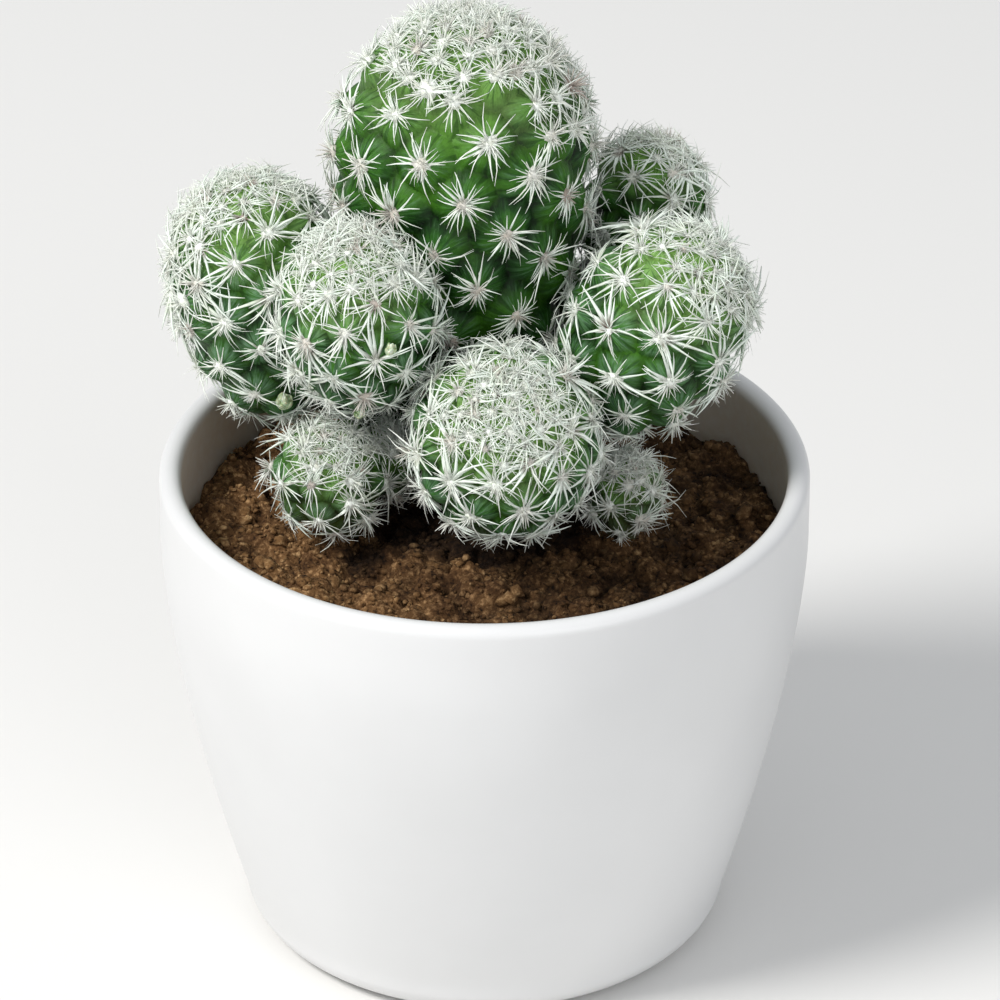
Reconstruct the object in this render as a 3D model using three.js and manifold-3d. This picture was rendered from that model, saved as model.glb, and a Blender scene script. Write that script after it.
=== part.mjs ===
// A thimble cactus in its pot: a clump of round, white-spined heads that grow from one main stem,
// with the soil they stand in and a plain white ceramic pot.
// Millimetres, +Z up. The origin is the centre of the pot's foot, on the surface it stands on.
import * as THREE from 'three';
import { mergeVertices } from 'three/addons/utils/BufferGeometryUtils.js';
import { ConvexHull } from 'three/addons/math/ConvexHull.js';
import { ImprovedNoise } from 'three/addons/math/ImprovedNoise.js';
import Module from 'manifold-3d';

const wasm = await Module();
wasm.setup();
const { clamp, lerp, smoothstep } = THREE.MathUtils;

// Driving dimensions
const CLEARANCE = 0.3; // between pieces that touch
const GOLDEN_ANGLE = Math.PI * (3 - Math.sqrt(5));

const POT = {
  rimRadius: 45,
  height: 70.4,
  wall: 3.1,
  floor: 5,
  floorCorner: 3.5, // the slope between floor and wall, inside
  uprightShare: 0.15, // of the height, below the rim, where the wall stands upright
  flare: 15.7, // with flareCurve, how the wall draws in from there down to the foot
  flareCurve: 1.5,
  footRadius: 28.5,
  heelHeight: 5, // the rounded edge between foot and wall
  recessRadius: 23,
  recessDepth: 1,
  recessSlope: 1, // width of the recess's sloping edge
  sides: 48,
};

const SOIL = {
  edgeHeight: 60.6, // at the pot's wall
  moundHeight: 1.8, // more than that round the stems
  moundTop: 8, // radius of the mound's level top
  moundFoot: 36, // radius at which it has run out
  clodHeight: 1.6,
  clodSize: 6.5,
  crumbHeight: 0.7,
  crumbSize: 3,
  hollow: { x: -16.5, y: -12.5, depth: 2.6, radius: 5.5, flat: 0.5 }, // sunk soil before a low head
  rings: 10,
};

// Each head is an egg of round section: `radius` at `centre`, `crown` from there to its growing tip
// along `lean`, and `tail` the other way. A stalk of radius `stalk` joins it to `root`.
// `spacing` is the distance between its spine cushions, away from the crown.
const HEADS = [
  { name: 'head_main', centre: [-2.9, 12, 112.7], lean: [0.03, -0.03, 1],
    radius: 17.7, crown: 19.5, tail: 62, spacing: 9, root: [-3.4, 14, 50], stalk: 8 },
  { name: 'head_mid_left', centre: [-17, -6.5, 97.2], lean: [-0.09, -0.36, 0.93],
    radius: 11.1, crown: 13.2, tail: 16, spacing: 6.8, root: [-4, 12, 80], stalk: 4.5 },
  { name: 'head_front', centre: [2.8, -14, 81.7], lean: [0.03, -0.65, 0.76],
    radius: 13, crown: 13.4, tail: 15, spacing: 6.9, root: [-2, 12, 68], stalk: 5 },
  { name: 'head_right', centre: [23.3, -2, 93.4], lean: [0.4, -0.27, 0.88],
    radius: 12.2, crown: 15.4, tail: 19.6, spacing: 7.9, root: [-2, 12, 68], stalk: 4.5 },
  { name: 'head_left', centre: [-31.1, 6, 96], lean: [-0.13, -0.06, 0.98],
    radius: 12.1, crown: 15, tail: 22, spacing: 7.3, root: [-4, 13, 68], stalk: 4.5 },
  { name: 'head_rear_right', centre: [22.2, 22, 99], lean: [0.15, 0.01, 0.99],
    radius: 8.7, crown: 9.6, tail: 15, spacing: 6.5, root: [-2, 13, 78], stalk: 4 },
  { name: 'head_rear_left', centre: [-20, 27, 79], lean: [-0.35, 0.4, 0.85],
    radius: 9.5, crown: 10.4, tail: 12.5, spacing: 6.7, root: [-3, 14, 66], stalk: 4 },
  { name: 'head_rear', centre: [6, 31, 78], lean: [0.15, 0.5, 0.85],
    radius: 8.4, crown: 9, tail: 11.5, spacing: 6.6, root: [-3, 14, 66], stalk: 4 },
  { name: 'head_low_left', centre: [-21.2, -4, 70.8], lean: [0.1, -0.49, 0.87],
    radius: 8.2, crown: 7.4, tail: 8.4, spacing: 6, root: [-17, 0, 57], stalk: 3 },
  { name: 'head_low_right', centre: [19.4, -4, 67.8], lean: [0.05, -0.39, 0.92],
    radius: 5.3, crown: 5.7, tail: 6.4, spacing: 5, root: [18, -3, 57], stalk: 2.5 },
  { name: 'head_inner', centre: [-12.4, 0.5, 71.2], lean: [-0.1, -0.5, 0.86],
    radius: 5.5, crown: 5.8, tail: 7.5, spacing: 5, root: [-6, 9, 62], stalk: 2.5 },
];

const STALK_TOP = 0.6; // of the tail: how far down inside its egg a stalk begins
const CROWN_SPACING = 0.55; // of a head's spacing, at its growing tip
const CROWN_SPREAD = 1.15; // radians from the tip over which the cushions open out
const VALLEY = 0.19; // depth between two tubercles, as a share of their distance
const CUSHION = 0.45; // radius of a spine cushion
const CUSHION_HEIGHT = 0.28;
const SPINE = {
  rays: 5, // round each cushion
  length: 4.1,
  crownLength: 2.8,
  lift: 0.3, // radians above the skin
  crownLift: 0.95,
  tipZone: 0.2, // radians from a head's tip within which its spines are shortest and steepest
  sway: 0.7, // radians between the furthest left and right that a spine may turn to find room
  steepening: 0.07, // radians added at each try to find room
  shortening: 0.035, // share of the length lost at each try
  tries: 14,
  gap: 0.32, // kept between two spines
  rootWidth: 0.24, // half of a spine's thickness at its root
  standOff: 0.6, // kept from everything that isn't its own head
};
const MOST_REACH = 44.9; // no spine passes the pot's rim sideways
const SEED = 7;

// Colours and finishes
const GLAZE = new THREE.MeshStandardMaterial({ color: '#f1f1f1', roughness: 0.35, metalness: 0 });
const EARTH = new THREE.MeshStandardMaterial({ color: '#4a2f1c', roughness: 0.95, metalness: 0 });
const SKIN = new THREE.MeshStandardMaterial({ color: '#6f9a62', roughness: 0.6, metalness: 0 });

// Small tools
// A random number from 0 to 1, the same on every run
function seededRandom(seed) {
  let state = seed >>> 0;
  return () => {
    state = (Math.imul(state, 1664525) + 1013904223) >>> 0;
    return state / 2 ** 32;
  };
}

// A closed geometry as a solid, with its doubled points merged and its empty faces dropped
function solidOf(geometry) {
  const plain = geometry.clone();
  plain.deleteAttribute('normal');
  plain.deleteAttribute('uv');
  const merged = mergeVertices(plain, 1e-3);
  const triangles = [];
  const corner = merged.index.array;
  for (let i = 0; i < corner.length; i += 3) {
    const [a, b, c] = corner.slice(i, i + 3);
    if (a !== b && b !== c && c !== a) triangles.push(a, b, c);
  }
  return new wasm.Manifold(new wasm.Mesh({
    numProp: 3,
    vertProperties: new Float32Array(merged.attributes.position.array),
    triVerts: new Uint32Array(triangles),
  }));
}

// The largest body of a solid: what a cut leaves loose is dropped
function mainBody(solid) {
  return solid.decompose().reduce((best, body) => (body.volume() > best.volume() ? body : best));
}

function meshOf(name, solid, material) {
  const { vertProperties, triVerts } = solid.getMesh();
  const geometry = new THREE.BufferGeometry();
  geometry.setAttribute('position', new THREE.BufferAttribute(vertProperties, 3));
  geometry.setIndex(new THREE.BufferAttribute(triVerts, 1));
  geometry.computeVertexNormals();
  const mesh = new THREE.Mesh(geometry, material);
  mesh.name = name;
  return mesh;
}

// A profile of radius and height, turned round the Z axis
function turned(profile, sides) {
  const points = profile.map(([radius, height]) => new THREE.Vector2(radius, height));
  return new THREE.LatheGeometry(points, sides).rotateX(Math.PI / 2);
}

// Pot
function potRadius(height) {
  const drawnIn = Math.max(0, 1 - height / POT.height - POT.uprightShare);
  return POT.rimRadius - POT.flare * drawnIn ** POT.flareCurve;
}

function potInside(height) {
  return potRadius(height) - POT.wall;
}

// The inner wall from the soil's edge down to the floor, as radius and height
function insideProfile() {
  const heights = [SOIL.edgeHeight, SOIL.edgeHeight / 2 + POT.floor, POT.floor + POT.floorCorner];
  const wall = heights.map((height) => [potInside(height), height]);
  return [...wall, [potInside(POT.floor) - POT.floorCorner, POT.floor]];
}

function potProfile() {
  const lip = POT.wall / 2;
  const lipCentre = POT.height - lip;
  const profile = [
    [0, POT.recessDepth], [POT.recessRadius - POT.recessSlope, POT.recessDepth],
    [POT.recessRadius, 0], [POT.footRadius, 0],
  ];
  const heelSteps = 3;
  const heelWidth = potRadius(POT.heelHeight) - POT.footRadius;
  for (let i = 1; i <= heelSteps; i++) {
    const turn = (i / heelSteps) * (Math.PI / 2);
    profile.push([POT.footRadius + heelWidth * Math.sin(turn), POT.heelHeight * (1 - Math.cos(turn))]);
  }
  const wallSteps = 5;
  for (let i = 1; i <= wallSteps; i++) {
    const height = lerp(POT.heelHeight, lipCentre, i / wallSteps);
    profile.push([potRadius(height), height]);
  }
  const lipSteps = 4;
  for (let i = 1; i <= lipSteps; i++) {
    const turn = (i / lipSteps) * Math.PI;
    profile.push([POT.rimRadius - lip + lip * Math.cos(turn), lipCentre + lip * Math.sin(turn)]);
  }
  insideProfile().forEach(([radius, height]) => profile.push([radius, height]));
  profile.push([0, POT.floor]);
  return profile;
}

// Soil
const noise = new ImprovedNoise();

function soilHeight(x, y) {
  const mound = 1 - smoothstep(Math.hypot(x, y), SOIL.moundTop, SOIL.moundFoot);
  const [clodSlice, crumbSlice] = [0.5, 7.5]; // two cuts through the noise, well apart
  const clods = noise.noise(x / SOIL.clodSize, y / SOIL.clodSize, clodSlice);
  const crumbs = noise.noise(x / SOIL.crumbSize, y / SOIL.crumbSize, crumbSlice);
  const { hollow } = SOIL;
  const sunk = 1 - smoothstep(Math.hypot(x - hollow.x, y - hollow.y), hollow.flat, hollow.radius);
  return SOIL.edgeHeight + SOIL.moundHeight * mound - hollow.depth * sunk
    + SOIL.clodHeight * clods + SOIL.crumbHeight * crumbs;
}

// The soil fills the pot, a clearance off its wall and floor; its top is raised by soilHeight
function soilGeometry() {
  const wall = insideProfile().reverse();
  const [[cornerRadius]] = wall;
  const bottom = POT.floor + CLEARANCE;
  const profile = [[0, bottom], [cornerRadius - CLEARANCE, bottom]];
  wall.slice(1).forEach(([radius, height]) => profile.push([radius - CLEARANCE, height]));
  const edge = potInside(SOIL.edgeHeight) - CLEARANCE;
  for (let ring = SOIL.rings - 1; ring >= 0; ring--) {
    profile.push([(edge * ring) / SOIL.rings, SOIL.edgeHeight]);
  }
  const geometry = turned(profile, POT.sides);
  const position = geometry.attributes.position;
  for (let i = 0; i < position.count; i++) {
    if (Math.abs(position.getZ(i) - SOIL.edgeHeight) < 0.01) {
      position.setZ(i, soilHeight(position.getX(i), position.getY(i)));
    }
  }
  return geometry;
}

// Heads: their outline
const vector = (values) => new THREE.Vector3(...values);

function prepareHead(head) {
  const axis = vector(head.lean).normalize();
  const side = new THREE.Vector3(0, 1, 0).cross(axis).normalize();
  const front = axis.clone().cross(side);
  const centre = vector(head.centre);
  const stalkTop = centre.clone().addScaledVector(axis, -STALK_TOP * head.tail);
  return { ...head, axis, side, front, centre, stalkTop, root: vector(head.root) };
}

// The point of an egg at `fromTip` radians from its growing tip, and round by `turn`
function eggPoint(head, fromTip, turn, grow = 0) {
  const reach = (fromTip < Math.PI / 2 ? head.crown : head.tail) + grow;
  const across = (head.radius + grow) * Math.sin(fromTip);
  return head.centre.clone()
    .addScaledVector(head.axis, reach * Math.cos(fromTip))
    .addScaledVector(head.side, across * Math.cos(turn))
    .addScaledVector(head.front, across * Math.sin(turn));
}

function eggNormal(head, point) {
  const local = point.clone().sub(head.centre);
  const along = local.dot(head.axis);
  const reach = along > 0 ? head.crown : head.tail;
  const across = local.addScaledVector(head.axis, -along);
  return across.divideScalar(head.radius ** 2)
    .addScaledVector(head.axis, along / reach ** 2).normalize();
}

// How far a point lies outside an egg, a little underrated; negative inside
function outsideEgg(head, point) {
  const local = point.clone().sub(head.centre);
  const along = local.dot(head.axis);
  const across = Math.sqrt(Math.max(0, local.lengthSq() - along ** 2));
  const share = along / (along > 0 ? head.crown : head.tail);
  const fromCentre = local.length() * (1 - 1 / Math.hypot(share, across / head.radius));
  if (Math.abs(share) >= 1) return fromCentre;
  return Math.min(fromCentre, across - head.radius * Math.sqrt(1 - share ** 2));
}

function outsideStalk(head, point) {
  const nearest = new THREE.Line3(head.root, head.stalkTop)
    .closestPointToPoint(point, true, new THREE.Vector3());
  return nearest.distanceTo(point) - head.stalk;
}

// Whether a point is clear of the soil, the pot and all heads but its own
function isClear(point, owner, heads, margin) {
  const aboveSoil = point.z > soilHeight(point.x, point.y) + margin;
  const offWall = Math.hypot(point.x, point.y) < potInside(point.z) - margin;
  const inReach = Math.max(Math.abs(point.x), Math.abs(point.y)) < MOST_REACH;
  if (!aboveSoil || !inReach || (point.z < POT.height + margin && !offWall)) return false;
  return heads.every((head) => head === owner
    || (outsideEgg(head, point) > margin && outsideStalk(head, point) > margin));
}

// Heads: where the tubercles stand
// They follow each other at the golden angle, each on its own share of the skin
function tubercleSites(head) {
  const steps = 400;
  const spacingAt = (fromTip) => head.spacing
    * lerp(CROWN_SPACING, 1, smoothstep(fromTip, 0, CROWN_SPREAD));
  const filled = [0];
  for (let i = 1; i <= steps; i++) {
    const fromTip = ((i - 0.5) / steps) * Math.PI;
    const strip = eggPoint(head, fromTip + Math.PI / steps / 2, 0)
      .distanceTo(eggPoint(head, fromTip - Math.PI / steps / 2, 0));
    const area = 2 * Math.PI * head.radius * Math.sin(fromTip) * strip;
    const hexagon = (Math.sqrt(3) / 2) * spacingAt(fromTip) ** 2;
    filled.push(filled[i - 1] + area / hexagon);
  }
  const count = Math.round(filled[steps]);
  const sites = [];
  for (let i = 0; i < count; i++) {
    const wanted = ((i + 0.5) / count) * filled[steps];
    const step = filled.findIndex((value) => value >= wanted);
    const part = (wanted - filled[step - 1]) / (filled[step] - filled[step - 1]);
    const fromTip = ((step - 1 + part) / steps) * Math.PI;
    const point = eggPoint(head, fromTip, i * GOLDEN_ANGLE);
    sites.push({ head, point, normal: eggNormal(head, point), fromTip });
  }
  return sites;
}

// The net of triangles between neighbouring sites: the convex hull of their points
function neighbourTriangles(sites) {
  const points = sites.map((site) => site.point);
  const indexOf = new Map(points.map((point, i) => [point, i]));
  return new ConvexHull().setFromPoints(points).faces.map((face) => {
    const corners = [];
    let edge = face.edge;
    do {
      corners.push(indexOf.get(edge.head().point));
      edge = edge.next;
    } while (edge !== face.edge);
    return corners;
  });
}

// One valley point for each triangle, and round each site the ring of its valley points
function addValleys(sites, points) {
  const triangleFrom = new Map();
  const key = (a, b) => a * sites.length + b;
  neighbourTriangles(sites).forEach(([a, b, c]) => {
    const corners = [a, b, c].map((i) => sites[i]);
    const middle = new THREE.Vector3();
    const outward = new THREE.Vector3();
    corners.forEach((site) => {
      middle.addScaledVector(site.point, 1 / 3);
      outward.add(site.normal);
    });
    const spread = corners[0].point.distanceTo(corners[1].point)
      + corners[1].point.distanceTo(corners[2].point) + corners[2].point.distanceTo(corners[0].point);
    middle.addScaledVector(outward.normalize(), (-VALLEY * spread) / 3);
    const valley = points.push(middle) - 1;
    [[a, b, c], [b, c, a], [c, a, b]].forEach(([from, to, last]) => {
      triangleFrom.set(key(from, to), { valley, last });
    });
    corners.forEach((site, i) => { site.firstNeighbour = [b, c, a][i]; });
  });
  sites.forEach((site, i) => {
    site.ring = [];
    let neighbour = site.firstNeighbour;
    do {
      const { valley, last } = triangleFrom.get(key(i, neighbour));
      site.ring.push(valley);
      neighbour = last;
    } while (neighbour !== site.firstNeighbour);
  });
}

// Spines
// The frame of a cushion: its rays are counted from the first valley of its ring
function cushionFrame(site, points) {
  const across = points[site.ring[0]].clone().sub(site.point);
  const ahead = across.addScaledVector(site.normal, -across.dot(site.normal)).normalize();
  return { ahead, left: site.normal.clone().cross(ahead) };
}

function inFrame(site, frame, turn, outward, upward) {
  return site.point.clone()
    .addScaledVector(frame.ahead, outward * Math.cos(turn))
    .addScaledVector(frame.left, outward * Math.sin(turn))
    .addScaledVector(site.normal, upward);
}

// The least distance between two spines, less the thickness they have there
function spineGap(first, second) {
  const along = first.tip.clone().sub(first.foot);
  const other = second.tip.clone().sub(second.foot);
  const between = first.foot.clone().sub(second.foot);
  const a = along.dot(along);
  const b = along.dot(other);
  const c = other.dot(other);
  const d = along.dot(between);
  const e = other.dot(between);
  const spread = a * c - b * b;
  let s = spread > 1e-9 ? clamp((b * e - c * d) / spread, 0, 1) : 0;
  const t = clamp((b * s + e) / c, 0, 1);
  s = clamp((b * t - d) / a, 0, 1);
  const distance = first.foot.clone().addScaledVector(along, s)
    .distanceTo(second.foot.clone().addScaledVector(other, t));
  return distance - SPINE.rootWidth * (2 - s - t);
}

// A spine that finds its way between the others: it is tried flat and long first, then steeper,
// to one side or the other, and shorter. It is left out where none of that is free.
function growSpine(site, frame, turn, grown, heads, random) {
  const nearTip = 1 - smoothstep(site.fromTip, SPINE.tipZone, CROWN_SPREAD);
  const length = lerp(SPINE.length, SPINE.crownLength, nearTip);
  const lift = lerp(SPINE.lift, SPINE.crownLift, nearTip);
  for (let i = 0; i < SPINE.tries; i++) {
    const steeper = lift + SPINE.steepening * (i + 2) * random();
    const reach = length * (0.85 + 0.15 * random()) * (1 - SPINE.shortening * i);
    const aside = turn + (random() - 0.5) * SPINE.sway;
    const tip = inFrame(site, frame, aside, reach * Math.cos(steeper), reach * Math.sin(steeper));
    const foot = inFrame(site, frame, turn, CUSHION * Math.cos(Math.PI / SPINE.rays), 0);
    const spine = { site, foot, tip };
    const free = [0.3, 0.65, 1].every((share) => isClear(
      foot.clone().lerp(tip, share), site.head, heads, SPINE.standOff));
    const crossed = free && grown.some((other) => other.site !== site
      && other.foot.distanceTo(foot) < 2 * SPINE.length + 1 && spineGap(spine, other) < SPINE.gap);
    if (free && !crossed) return spine;
  }
  return null;
}

// A head's skin: a six-sided tubercle round each site, tipped by its cushion and its star of spines
function headGeometry(head, heads, grown, random) {
  const points = [];
  const faces = [];
  const sites = tubercleSites(head);
  addValleys(sites, points);
  sites.forEach((site) => {
    if (!isClear(site.point, head, heads, SPINE.standOff)) {
      const top = points.push(site.point) - 1;
      site.ring.forEach((valley, i) => {
        faces.push([valley, site.ring[(i + 1) % site.ring.length], top]);
      });
      return;
    }
    const frame = cushionFrame(site, points);
    const sector = (2 * Math.PI) / SPINE.rays;
    const hub = [];
    for (let k = 0; k < SPINE.rays; k++) {
      hub.push(points.push(inFrame(site, frame, k * sector, CUSHION, 0)) - 1);
    }
    const top = points.push(inFrame(site, frame, 0, 0, CUSHION_HEIGHT)) - 1;
    joinRings(site, frame, hub, points, faces);
    hub.forEach((here, k) => {
      const next = hub[(k + 1) % SPINE.rays];
      const spine = growSpine(site, frame, (k + 0.5) * sector, grown, heads, random);
      if (spine) {
        const tip = points.push(spine.tip) - 1;
        faces.push([here, next, tip], [next, top, tip], [top, here, tip]);
        grown.push(spine);
      } else {
        faces.push([here, next, top]);
      }
    });
  });
  const geometry = new THREE.BufferGeometry();
  geometry.setAttribute('position', new THREE.Float32BufferAttribute(
    points.flatMap((point) => point.toArray()), 3));
  geometry.setIndex(faces.flat());
  return geometry;
}

// The flank of a tubercle, between its ring of valleys and its cushion's edge
function joinRings(site, frame, hub, points, faces) {
  const angleOf = (index) => {
    const across = points[index].clone().sub(site.point);
    return Math.atan2(across.dot(frame.left), across.dot(frame.ahead));
  };
  const outer = [0];
  for (let i = 1; i < site.ring.length; i++) {
    const turn = angleOf(site.ring[i]);
    outer.push(turn < outer[i - 1] ? turn + 2 * Math.PI : turn);
  }
  outer.push(2 * Math.PI);
  const at = (ring, i) => ring[i % ring.length];
  let i = 0;
  let k = 0;
  while (i < site.ring.length || k < hub.length) {
    const nextHub = ((k + 1) / hub.length) * 2 * Math.PI;
    if (k >= hub.length || (i < site.ring.length && outer[i + 1] <= nextHub)) {
      faces.push([at(site.ring, i), at(site.ring, i + 1), at(hub, k)]);
      i += 1;
    } else {
      faces.push([at(site.ring, i), at(hub, k + 1), at(hub, k)]);
      k += 1;
    }
  }
}

// Heads: solids
// The stalk, from inside the egg down to the root
function stalkSolid(head, grow) {
  const sides = 10;
  const radius = head.stalk + grow;
  const line = head.stalkTop.clone().sub(head.root);
  const geometry = new THREE.CylinderGeometry(radius, radius, line.length(), sides);
  geometry.translate(0, line.length() / 2, 0);
  geometry.applyQuaternion(new THREE.Quaternion().setFromUnitVectors(
    new THREE.Vector3(0, 1, 0), line.normalize()));
  return solidOf(geometry.translate(...head.root.toArray()));
}

// The room that a head takes: its egg and stalk, grown by the clearance
function roomOf(head) {
  const sides = 20;
  const bands = 12;
  // A flat facet falls short of the round, both along and across
  const shortfall = 2 - Math.cos(Math.PI / sides) - Math.cos(Math.PI / (2 * bands));
  const grow = CLEARANCE + shortfall * head.radius;
  const profile = [];
  for (let i = 0; i <= bands; i++) {
    const fromTip = Math.PI * (1 - i / bands);
    const reach = (fromTip < Math.PI / 2 ? head.crown : head.tail) + grow;
    profile.push([(head.radius + grow) * Math.sin(fromTip), reach * Math.cos(fromTip)]);
  }
  const egg = turned(profile, sides);
  egg.applyQuaternion(new THREE.Quaternion().setFromUnitVectors(new THREE.Vector3(0, 0, 1), head.axis));
  egg.translate(...head.centre.toArray());
  return solidOf(egg).add(stalkSolid(head, grow));
}

function build() {
  const heads = HEADS.map(prepareHead);
  const random = seededRandom(SEED);
  const grown = [];
  const rooms = [];
  const cactus = heads.map((head) => {
    let solid = solidOf(headGeometry(head, heads, grown, random)).add(stalkSolid(head, 0));
    rooms.forEach((room) => { solid = solid.subtract(room); });
    rooms.push(roomOf(head));
    return meshOf(head.name, mainBody(solid), SKIN);
  });
  const soil = rooms.reduce((rest, room) => rest.subtract(room), solidOf(soilGeometry()));
  const pot = solidOf(turned(potProfile(), POT.sides));
  const group = new THREE.Group();
  group.add(meshOf('pot', pot, GLAZE), meshOf('soil', mainBody(soil), EARTH), ...cactus);
  return group;
}

export default build();
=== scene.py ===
import math
import random

import bmesh
import bpy
import numpy as np
from mathutils import Matrix, Vector, noise


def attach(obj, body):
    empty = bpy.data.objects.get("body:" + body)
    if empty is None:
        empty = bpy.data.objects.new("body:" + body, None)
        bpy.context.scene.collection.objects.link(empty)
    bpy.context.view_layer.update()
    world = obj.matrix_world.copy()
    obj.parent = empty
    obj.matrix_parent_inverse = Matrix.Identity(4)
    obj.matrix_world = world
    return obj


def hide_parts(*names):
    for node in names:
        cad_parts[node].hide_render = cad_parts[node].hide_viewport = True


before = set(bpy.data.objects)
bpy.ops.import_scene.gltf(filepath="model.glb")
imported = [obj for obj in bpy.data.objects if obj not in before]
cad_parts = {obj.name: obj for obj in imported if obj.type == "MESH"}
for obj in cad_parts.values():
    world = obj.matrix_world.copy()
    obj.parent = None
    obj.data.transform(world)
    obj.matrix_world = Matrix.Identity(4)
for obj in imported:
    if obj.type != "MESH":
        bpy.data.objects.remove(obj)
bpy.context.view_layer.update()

# Pot
# One piece of white stoneware, cast with a wall of about 3 mm, drawn in towards its foot, and fired
# with a satin white glaze. It stands on the ring round a shallow recess, and its lip is rounded.
# Sizes here and below are in millimetres; make_piece brings the finished mesh to metres.
RIM_RADIUS = 45
POT_HEIGHT = 70.4
WALL = 3.1
FLOOR = 5
INNER_CORNER = 3.5
FOOT_RADIUS = 28.5
FOOT_EASE = 0.4
HEEL_HEIGHT = 5
RECESS_RADIUS = 23
RECESS_DEPTH = 1
# The top of the wall is nearly upright, and the rest draws in by a power of its depth
UPRIGHT_SHARE, DRAW_IN, DRAW_POWER = 0.15, 15.7, 1.5
POT_SIDES = 192
HEEL_STEPS, WALL_STEPS, LIP_STEPS = 10, 30, 16
INNER_HEIGHTS = 66, 63, 60.6, 52, 44, 36, 28, 20, 14, 8.5


def pot_radius(height):
    depth = max(0.0, 1 - height / POT_HEIGHT - UPRIGHT_SHARE)
    return RIM_RADIUS - DRAW_IN * depth ** DRAW_POWER


def make_piece(name, bm, material, replaced=()):
    bmesh.ops.scale(bm, vec=(0.001, 0.001, 0.001), verts=bm.verts)
    mesh = bpy.data.meshes.new(name)
    bm.to_mesh(mesh)
    bm.free()
    mesh.materials.append(material)
    mesh.shade_smooth()
    piece = bpy.data.objects.new(name, mesh)
    bpy.context.scene.collection.objects.link(piece)
    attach(piece, "root")
    if replaced:
        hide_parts(*replaced)
    return piece


# A profile of radius and height, spun round the pot's axis into a closed shell
def spun(profile, steps):
    bm = bmesh.new()
    verts = [bm.verts.new((radius, 0, height)) for radius, height in profile]
    edges = [bm.edges.new(pair) for pair in zip(verts, verts[1:])]
    bmesh.ops.spin(bm, geom=verts + edges, cent=(0, 0, 0), axis=(0, 0, 1), dvec=(0, 0, 0),
                   angle=2 * math.pi, steps=steps, use_merge=True, use_duplicate=False)
    bmesh.ops.remove_doubles(bm, verts=bm.verts, dist=0.001)
    bmesh.ops.recalc_face_normals(bm, faces=bm.faces)
    return bm


def pot_profile():
    profile = [(0, RECESS_DEPTH), (RECESS_RADIUS - RECESS_DEPTH, RECESS_DEPTH)]
    profile += [(RECESS_RADIUS, 0), (FOOT_RADIUS, 0)]
    heel_width = pot_radius(HEEL_HEIGHT) - FOOT_RADIUS
    for i in range(1, HEEL_STEPS + 1):
        turn = i / HEEL_STEPS * math.pi / 2
        profile.append((FOOT_RADIUS + heel_width * math.sin(turn), HEEL_HEIGHT * (1 - math.cos(turn))))
    lip = WALL / 2
    for i in range(1, WALL_STEPS + 1):
        height = HEEL_HEIGHT + (POT_HEIGHT - lip - HEEL_HEIGHT) * i / WALL_STEPS
        profile.append((pot_radius(height), height))
    for i in range(1, LIP_STEPS + 1):
        turn = i / LIP_STEPS * math.pi
        profile.append((RIM_RADIUS - lip + lip * math.cos(turn), POT_HEIGHT - lip + lip * math.sin(turn)))
    profile += [(pot_radius(height) - WALL, height) for height in INNER_HEIGHTS]
    profile += [(pot_radius(FLOOR) - WALL - INNER_CORNER, FLOOR), (0, FLOOR)]
    return profile


# Node materials: a shader with its plain values, and nodes added one at a time
def new_material(name, **values):
    material = bpy.data.materials.new(name)
    material.use_nodes = True
    shader = material.node_tree.nodes["Principled BSDF"]
    for socket, value in values.items():
        shader.inputs[socket.replace("_", " ")].default_value = value
    return material, shader


def add_node(material, kind, inputs, **settings):
    node = material.node_tree.nodes.new("ShaderNode" + kind)
    for key, value in settings.items():
        setattr(node, key, value)
    for socket, value in inputs.items():
        if isinstance(value, bpy.types.NodeSocket):
            material.node_tree.links.new(value, node.inputs[socket])
        else:
            node.inputs[socket].default_value = value
    return node


def link(material, output, socket):
    material.node_tree.links.new(output, socket)


# A colour ramp's stops are (place, colour)
def add_ramp(material, value, stops, interpolation="EASE"):
    node = add_node(material, "ValToRGB", {"Fac": value})
    ramp = node.color_ramp
    ramp.interpolation = interpolation
    while len(ramp.elements) < len(stops):
        ramp.elements.new(1)
    for element, (place, colour) in zip(ramp.elements, stops):
        element.position = place
        element.color = (*colour, 1)
    return node.outputs["Color"]


def object_place(material):
    return add_node(material, "TexCoord", {}).outputs["Object"]


def add_noise(material, vector, scale, detail, roughness=0.5):
    return add_node(material, "TexNoise", {"Vector": vector, "Scale": scale, "Detail": detail,
                                           "Roughness": roughness}).outputs["Fac"]


def add_mix(material, share, first, second):
    node = add_node(material, "Mix", {}, data_type="RGBA")
    for index, value in ((0, share), (6, first), (7, second)):
        if isinstance(value, bpy.types.NodeSocket):
            link(material, value, node.inputs[index])
        elif index:
            node.inputs[index].default_value = (*value, 1)
        else:
            node.inputs[index].default_value = value
    return node.outputs[2]


def add_math(material, operation, first, second):
    return add_node(material, "Math", {0: first, 1: second}, operation=operation).outputs[0]


# Brings a value from one span to another: 0 at `start` and 1 at `end`, if no low and high are given
def add_range(material, value, start, end, low=0.0, high=1.0):
    return add_node(material, "MapRange", {"Value": value, "From Min": start, "From Max": end,
                                           "To Min": low, "To Max": high}).outputs[0]


def add_bump(material, height, strength, distance, normal=None):
    inputs = {"Height": height, "Strength": strength, "Distance": distance}
    if normal is not None:
        inputs["Normal"] = normal
    return add_node(material, "Bump", inputs).outputs["Normal"]


GLAZE_WHITES = [(0.3, (0.68, 0.68, 0.678)), (0.7, (0.715, 0.715, 0.714))]
# The inner wall's film: soil dust, with painted shade for the dark inside of the pot
DUST_AND_SHADE = (0.62, 0.53, 0.44)
# In metres: where the film of soil dust and painted shade begins and where it is full, inwards and
# downwards, and its foot
DUST_AND_SHADE_RADII = 0.0430, 0.0418
DUST_AND_SHADE_HEIGHTS = 0.0702, 0.0686
DUST_AND_SHADE_FOOT = 0.055


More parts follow.
